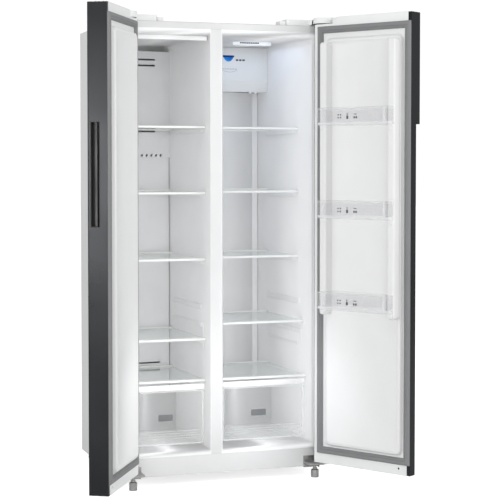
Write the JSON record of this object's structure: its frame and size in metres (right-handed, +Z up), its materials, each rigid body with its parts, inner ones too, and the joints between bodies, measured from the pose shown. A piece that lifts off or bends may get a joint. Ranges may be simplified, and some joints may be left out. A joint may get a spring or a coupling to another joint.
{
  "type": "side by side refrigerator",
  "caption": "Free-standing side by side refrigerator with a narrow freezer and a wide fridge, dark doors with a pocket handle, glass shelves, clear drawers and door bins.",
  "frame": {"origin": "floor level, at the middle of the footprint with the doors standing open", "axes": "+X to the right seen from the front, +Y towards the back, +Z up"},
  "size_m": [1.2361, 1.047, 1.772],
  "materials": {
    "white_sheet": "white powder coated sheet steel",
    "dark_steel": "dark brushed stainless finish",
    "white_plastic": "moulded white polystyrene",
    "grey_plastic": "light grey moulded cover",
    "black_plastic": "black moulded plastic",
    "gasket_rubber": "grey magnetic seal",
    "shelf_glass": "clear toughened glass",
    "clear_plastic": "clear tinted polystyrene",
    "lamp_lens": "diffusing lamp lens",
    "galvanised": "zinc plated steel",
    "fin_aluminium": "aluminium fins and tube",
    "foam": "rigid polyurethane foam",
    "black_metal": "black painted steel",
    "board": "printed circuit board",
    "roller_nylon": "nylon roller"
  },
  "bodies": {
    "cabinet": {"outer_shell": "white_sheet", "back_panel": "galvanised", "base_pan": "galvanised", "cabinet_foam": "foam", "freezer_liner": "white_plastic", "fridge_liner": "white_plastic", "top_rail": "white_sheet", "mullion_cover": "white_sheet", "plinth_rail": "white_sheet", "freezer_duct_upper": "grey_plastic", "freezer_duct_lower": "grey_plastic", "evaporator": "fin_aluminium", "fridge_duct_box": "white_plastic", "fridge_lamp": "lamp_lens", "freezer_shelf_1": "shelf_glass", "freezer_shelf_2": "shelf_glass", "freezer_shelf_3": "shelf_glass", "freezer_shelf_4": "shelf_glass", "freezer_drawer_cover": "shelf_glass", "freezer_shelf_trims": "white_plastic", "fridge_shelf_1": "shelf_glass", "fridge_shelf_2": "shelf_glass", "fridge_shelf_3": "shelf_glass", "fridge_shelf_4": "shelf_glass", "fridge_drawer_cover": "shelf_glass", "fridge_shelf_trims": "white_plastic", "top_hinge_left": "galvanised", "top_hinge_right": "galvanised", "hinge_cover_left": "white_plastic", "hinge_cover_right": "white_plastic", "bottom_hinge_left": "galvanised", "bottom_hinge_right": "galvanised", "hinge_screws": "galvanised", "compressor": "black_metal", "condenser": "black_metal", "drip_tray": "grey_plastic", "control_board": "board", "rear_grille": "black_plastic"},
    "left_door": {"left_door_skin": "dark_steel", "left_door_core": "foam", "left_door_liner": "white_plastic", "left_door_gasket": "gasket_rubber", "left_door_caps": "white_plastic", "left_door_handle": "black_plastic"},
    "right_door": {"right_door_skin": "dark_steel", "right_door_core": "foam", "right_door_liner": "white_plastic", "right_door_gasket": "gasket_rubber", "right_door_caps": "white_plastic", "door_bin_lower": "clear_plastic", "door_bin_middle": "clear_plastic", "door_bin_upper": "clear_plastic"},
    "freezer_drawer": {"freezer_drawer": "clear_plastic"},
    "fridge_drawer": {"fridge_drawer": "clear_plastic"},
    "fan": {"evaporator_fan": "black_plastic"},
    "left_foot": {"foot_left": "galvanised"},
    "right_foot": {"foot_right": "galvanised"},
    "left_roller": {"rear_roller_left": "roller_nylon"},
    "right_roller": {"rear_roller_right": "roller_nylon"}
  },
  "joints": [
    {"name": "left_door_hinge", "type": "hinge", "parent": "cabinet", "child": "left_door", "pos_m": [-0.41346, -0.14144, 0.9], "axis": [0, 0, -1], "range_deg": [-120, 12]},
    {"name": "right_door_hinge", "type": "hinge", "parent": "cabinet", "child": "right_door", "pos_m": [0.37454, -0.14144, 0.9], "axis": [0, 0, 1], "range_deg": [-122, 12]},
    {"name": "freezer_drawer_slide", "type": "slide", "parent": "cabinet", "child": "freezer_drawer", "axis": [0, -1, 0], "range_m": [0, 0.27]},
    {"name": "fridge_drawer_slide", "type": "slide", "parent": "cabinet", "child": "fridge_drawer", "axis": [0, -1, 0], "range_m": [0, 0.27]},
    {"name": "fan_spin", "type": "hinge", "parent": "cabinet", "child": "fan", "pos_m": [-0.22546, 0.40149, 1.465], "axis": [0, 1, 0], "continuous": true},
    {"name": "left_foot_turn", "type": "hinge", "parent": "cabinet", "child": "left_foot", "pos_m": [-0.38246, -0.11944, 0.02], "axis": [0, 0, 1], "continuous": true},
    {"name": "right_foot_turn", "type": "hinge", "parent": "cabinet", "child": "right_foot", "pos_m": [0.34354, -0.11944, 0.02], "axis": [0, 0, 1], "continuous": true},
    {"name": "left_roller_spin", "type": "hinge", "parent": "cabinet", "child": "left_roller", "pos_m": [-0.40446, 0.46856, 0.019], "axis": [1, 0, 0], "continuous": true},
    {"name": "right_roller_spin", "type": "hinge", "parent": "cabinet", "child": "right_roller", "pos_m": [0.36554, 0.46856, 0.019], "axis": [1, 0, 0], "continuous": true}
  ]
}
